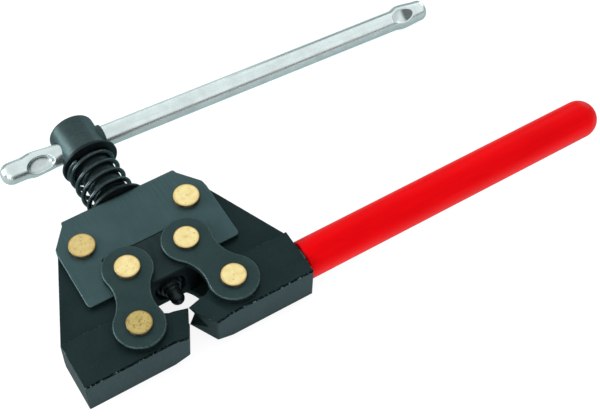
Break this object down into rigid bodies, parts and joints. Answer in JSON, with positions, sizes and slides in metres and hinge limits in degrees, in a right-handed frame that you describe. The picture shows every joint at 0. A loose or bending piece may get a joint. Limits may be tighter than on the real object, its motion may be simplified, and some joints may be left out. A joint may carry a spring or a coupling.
{
  "type": "roller chain breaker",
  "caption": "Hand chain breaker: V-nosed jaws on toggle links grip a roller chain while a sprung T-handled pressure screw drives a punch pin through it.",
  "frame": {"origin": "on the punch axis at mid-thickness, level with the top edge of the closed jaw tips", "axes": "+X across the tool towards the red-handled jaw, +Y up the pressure screw towards its hub, +Z square to the link plates, out of the face shown as the front"},
  "size_m": [0.2715, 0.1268, 0.0343],
  "materials": {
    "oxide_forging": "matt black oxide",
    "oxide_plate": "satin black oxide",
    "oxide_screw": "satin black oxide",
    "gold_rivet": "satin, ground flat",
    "rod_steel": "zinc plated",
    "red_vinyl": "glossy dipped",
    "black_washer": "black",
    "spring_wire": "oil-tempered black",
    "bright_plate": "bright zinc plate"
  },
  "bodies": {
    "bridge": {"bridge_yoke": "oxide_plate", "bridge_rivet_left": "gold_rivet", "bridge_rivet_right": "gold_rivet", "spring_lower_washer": "black_washer", "return_spring": "spring_wire"},
    "right_jaw": {"right_jaw": "oxide_forging", "jaw_rivet_right": "gold_rivet", "handle_rod": "rod_steel", "handle_grip": "red_vinyl"},
    "left_jaw": {"left_jaw": "oxide_forging", "jaw_rivet_left": "gold_rivet"},
    "block": {"nut_block": "oxide_forging", "block_rivet_left": "gold_rivet", "block_rivet_right": "gold_rivet"},
    "right_links": {"right_link_front": "oxide_plate", "right_link_rear": "oxide_plate"},
    "left_links": {"left_link_front": "oxide_plate", "left_link_rear": "oxide_plate"},
    "feed": {"spring_upper_washer": "black_washer"},
    "screw": {"pressure_screw": "oxide_screw", "punch_pin": "oxide_screw"},
    "t_bar": {"t_bar": "bright_plate"}
  },
  "joints": [
    {"name": "right_jaw_pivot", "type": "hinge", "parent": "bridge", "child": "right_jaw", "pos_m": [0.0254, 0.0476, 0], "axis": [0, 0, 1], "range_deg": [0, 7.8]},
    {"name": "left_jaw_pivot", "type": "hinge", "parent": "bridge", "child": "left_jaw", "pos_m": [-0.0254, 0.0476, 0], "axis": [0, 0, 1], "range_deg": [-7.8, 0]},
    {"name": "jaw_press", "type": "slide", "parent": "bridge", "child": "block", "axis": [0, -1, 0], "range_m": [0, 0.0028], "stiffness_N_per_m": 3400, "springref_m": -0.004, "deforming": ["return_spring"]},
    {"name": "right_links_pivot", "type": "hinge", "parent": "block", "child": "right_links", "pos_m": [0.0142, 0.0269, 0], "axis": [0, 0, 1], "range_deg": [0, 14.5]},
    {"name": "left_links_pivot", "type": "hinge", "parent": "block", "child": "left_links", "pos_m": [-0.0142, 0.0269, 0], "axis": [0, 0, 1], "range_deg": [-14.5, 0]},
    {"name": "screw_turn", "type": "hinge", "parent": "feed", "child": "screw", "pos_m": [0, 0.0942, 0], "axis": [0, -1, 0], "range_deg": [-1800, 1080]},
    {"name": "screw_feed", "type": "slide", "parent": "block", "child": "feed", "axis": [0, -1, 0], "range_m": [-0.0106, 0.0064], "deforming": ["return_spring"]},
    {"name": "t_bar_slide", "type": "slide", "parent": "screw", "child": "t_bar", "axis": [0.9973, 0, -0.0741], "range_m": [-0.163, 0.002]}
  ],
  "couplings": [
    {"joint": "left_jaw_pivot", "follows": "right_jaw_pivot", "ratio": -1},
    {"joint": "jaw_press", "follows": "right_jaw_pivot", "m_per_rad": 0.02056},
    {"joint": "right_links_pivot", "follows": "right_jaw_pivot", "ratio": 1.8589},
    {"joint": "left_links_pivot", "follows": "right_jaw_pivot", "ratio": -1.8589},
    {"joint": "screw_feed", "follows": "screw_turn", "m_per_rad": 0.00033687}
  ]
}
